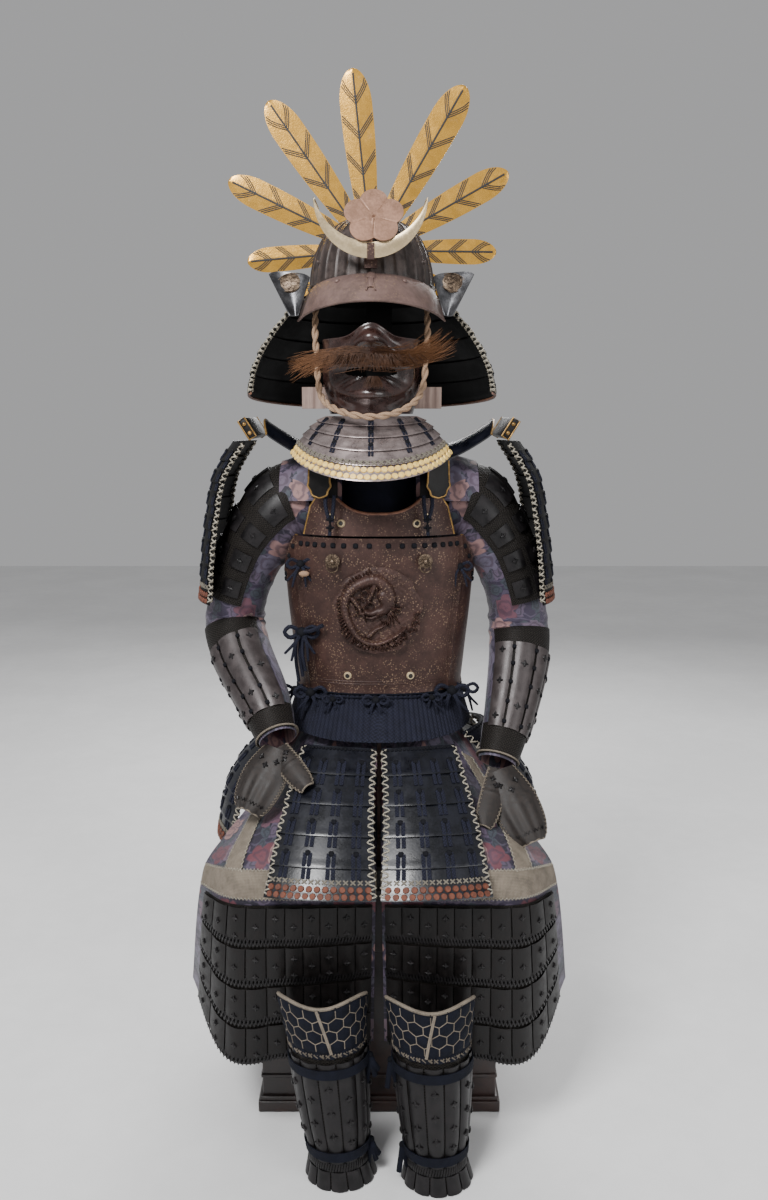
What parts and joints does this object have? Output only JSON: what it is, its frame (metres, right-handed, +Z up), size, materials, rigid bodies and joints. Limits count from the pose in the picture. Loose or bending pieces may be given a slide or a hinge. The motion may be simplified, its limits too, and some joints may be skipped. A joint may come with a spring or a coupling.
{
  "type": "samurai armour on a storage chest and stand",
  "caption": "Samurai armour set up as if seated on its storage chest, hollow, with crested helmet, mask, laced plates and shin guards.",
  "frame": {"origin": "middle of the set's box, on the floor", "axes": "+Z up, the armour faces -Y, +X is the wearer's left"},
  "size_m": [0.692, 0.7022, 1.9112],
  "materials": {
    "russet_iron": "speckled russet lacquer on iron",
    "black_lacquer": "glossy black lacquer",
    "brown_lacquer": "worn dark brown lacquer",
    "gold": "aged gold leaf",
    "brass": "satin",
    "copper": "satin copper",
    "navy_cord": "laced silk cord",
    "brocade": "flowered silk brocade",
    "mail": "dark mail and small plates",
    "fur": "bristle hair",
    "rope": "twisted hemp",
    "wood": "plain planed wood",
    "chest_lacquer": "reddish brown lacquer"
  },
  "bodies": {
    "root": {"chest_body": "chest_lacquer", "chest_lid": "chest_lacquer", "armour_stand": "wood", "helmet_bowl": "russet_iron", "helmet_peak": "russet_iron", "neck_guard": "black_lacquer", "turnback_l": "black_lacquer", "turnback_r": "black_lacquer", "crest_holder": "russet_iron", "crescent": "brass", "plum_flower": "copper", "feather_fan": "gold", "face_mask": "brown_lacquer", "moustache": "fur", "chin_tuft": "fur", "chin_cord": "rope", "throat_guard": "russet_iron", "cuirass_front": "russet_iron", "cuirass_back": "russet_iron", "breast_top": "russet_iron", "medallion": "russet_iron", "ring_boss_l": "brass", "ring_boss_r": "brass", "shoulder_strap_l": "brown_lacquer", "shoulder_strap_r": "brown_lacquer", "shoulder_wing_l": "brown_lacquer", "shoulder_wing_r": "brown_lacquer", "strap_guard_l": "gold", "strap_guard_r": "gold", "collar_cloth": "navy_cord", "sleeve_l": "brocade", "forearm_guard_l": "russet_iron", "arm_plates_l": "mail", "hand_guard_l": "brown_lacquer", "sleeve_r": "brocade", "forearm_guard_r": "russet_iron", "arm_plates_r": "mail", "hand_guard_r": "brown_lacquer", "shoulder_guard_l": "black_lacquer", "shoulder_guard_r": "black_lacquer", "guard_cap_l": "gold", "guard_cap_r": "gold", "tasset_cords": "navy_cord", "tasset_front_l": "black_lacquer", "tasset_front_r": "black_lacquer", "tasset_side_l": "black_lacquer", "tasset_side_r": "black_lacquer", "tasset_rear_l": "black_lacquer", "tasset_rear_r": "black_lacquer", "tasset_back": "black_lacquer", "thigh_cloth_l": "brocade", "thigh_cloth_r": "brocade", "thigh_plates_l": "brown_lacquer", "thigh_plates_r": "brown_lacquer", "shin_guard_l": "russet_iron", "knee_guard_l": "navy_cord", "shin_guard_r": "russet_iron", "knee_guard_r": "navy_cord"},
    "ring_l": {"chest_ring_l": "brass"},
    "ring_r": {"chest_ring_r": "brass"}
  },
  "joints": [
    {"name": "ring_swing_l", "type": "hinge", "parent": "root", "child": "ring_l", "pos_m": [0.082, -0.04214, 1.016], "axis": [1, 0, 0], "range_deg": [-150, 15]},
    {"name": "ring_swing_r", "type": "hinge", "parent": "root", "child": "ring_r", "pos_m": [-0.082, -0.04214, 1.016], "axis": [1, 0, 0], "range_deg": [-150, 15]}
  ]
}
